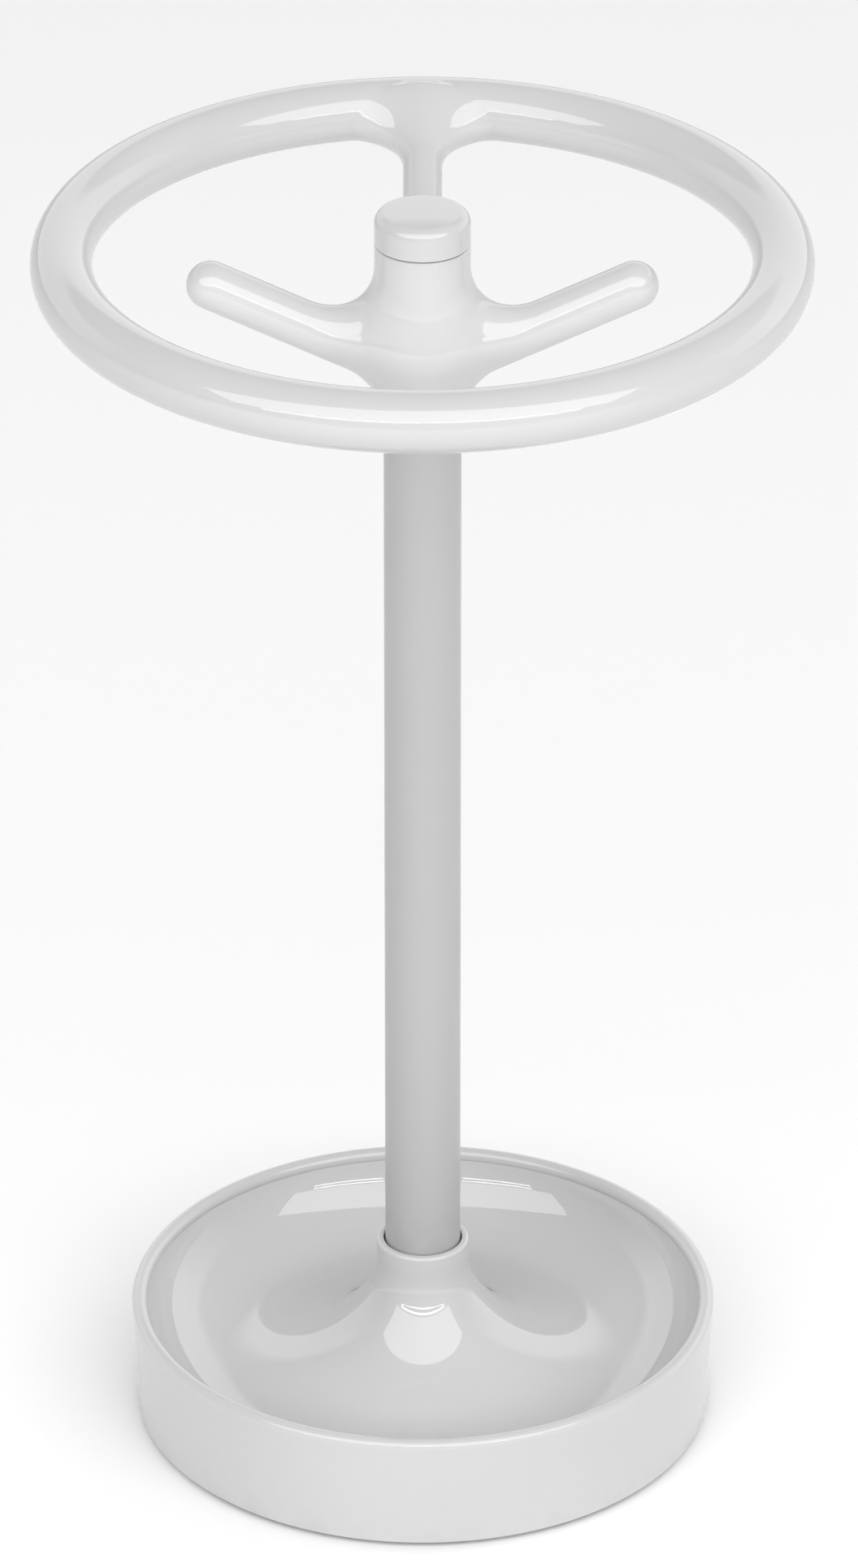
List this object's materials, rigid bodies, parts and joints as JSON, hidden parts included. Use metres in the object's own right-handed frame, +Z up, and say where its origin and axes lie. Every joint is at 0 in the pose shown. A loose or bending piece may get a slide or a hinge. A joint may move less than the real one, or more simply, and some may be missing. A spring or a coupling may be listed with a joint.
{
  "type": "umbrella stand",
  "caption": "Umbrella stand: wheel-shaped rail with a spoke and two hook arms on a slim column, over a round weighted drip dish with a trumpet collar.",
  "frame": {"origin": "on the floor under the column's axis, at the centre of the base's footprint", "axes": "+Z up along the column; +Y from the column towards the spoke that carries the rail; hooks along +X and -X"},
  "size_m": [0.35, 0.35, 0.618],
  "materials": {
    "gloss_white": "polished moulding, gloss white",
    "column_white": "semi-gloss white powder coat on steel tube",
    "cast_iron": "as cast, thin black primer",
    "cover_plastic": "fine spark-eroded texture, white",
    "nylon": "turned, natural nylon",
    "zinc_steel": "bright zinc plate",
    "foot_rubber": "matt moulded rubber"
  },
  "bodies": {
    "stand": {"base_shell": "gloss_white", "ballast_weight": "cast_iron", "ballast_screws": "zinc_steel", "base_plate": "cover_plastic", "base_plate_screws": "zinc_steel", "foot_1": "foot_rubber", "foot_2": "foot_rubber", "foot_3": "foot_rubber", "foot_4": "foot_rubber", "foot_5": "foot_rubber", "foot_6": "foot_rubber", "column_tube": "column_white", "lower_spigot": "nylon", "upper_spigot": "nylon", "tie_rod": "zinc_steel", "lower_washer": "zinc_steel", "lower_nut": "zinc_steel", "upper_washer": "zinc_steel", "upper_nut": "zinc_steel", "ring_hub": "gloss_white"},
    "cap": {"hub_cap": "gloss_white"}
  },
  "joints": [
    {"name": "cap_lift", "type": "slide", "parent": "stand", "child": "cap", "axis": [0, 0, 1], "range_m": [0, 0.03]}
  ]
}
